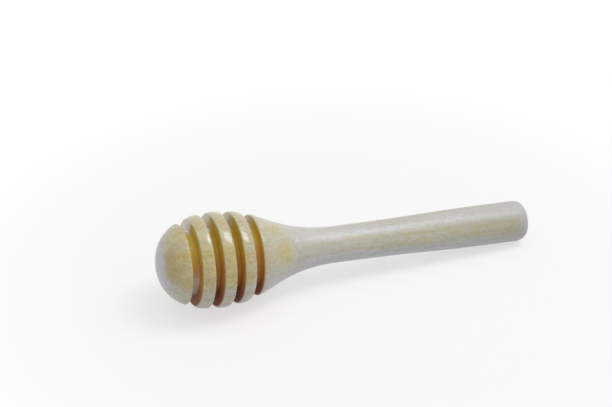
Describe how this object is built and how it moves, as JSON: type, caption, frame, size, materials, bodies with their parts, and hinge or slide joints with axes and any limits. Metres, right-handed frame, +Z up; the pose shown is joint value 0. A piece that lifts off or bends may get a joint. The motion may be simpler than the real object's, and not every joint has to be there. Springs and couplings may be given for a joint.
{
  "type": "honey dipper",
  "caption": "Small turned wooden honey dipper: a domed head with deep rings that flares into a slim round handle with a flat, rounded-off butt.",
  "frame": {"origin": "on the table, under the middle of the lying dipper's bounding box", "axes": "+X runs along the table from the nose of the head to the butt of the handle, +Z is up from the table, and the turning axis lies in the XZ plane, leaning 4.6 degrees down towards the butt"},
  "size_m": [0.08, 0.0192, 0.0192],
  "materials": {
    "head_wood": "sanded pale hardwood, wet and glossy from use, the grooves stained amber brown",
    "handle_wood": "sanded pale hardwood, satin, fine grain along the handle",
    "glue": "dried wood glue, translucent ivory"
  },
  "bodies": {
    "root": {"head": "head_wood", "handle": "handle_wood", "glue_line": "glue"}
  },
  "joints": []
}
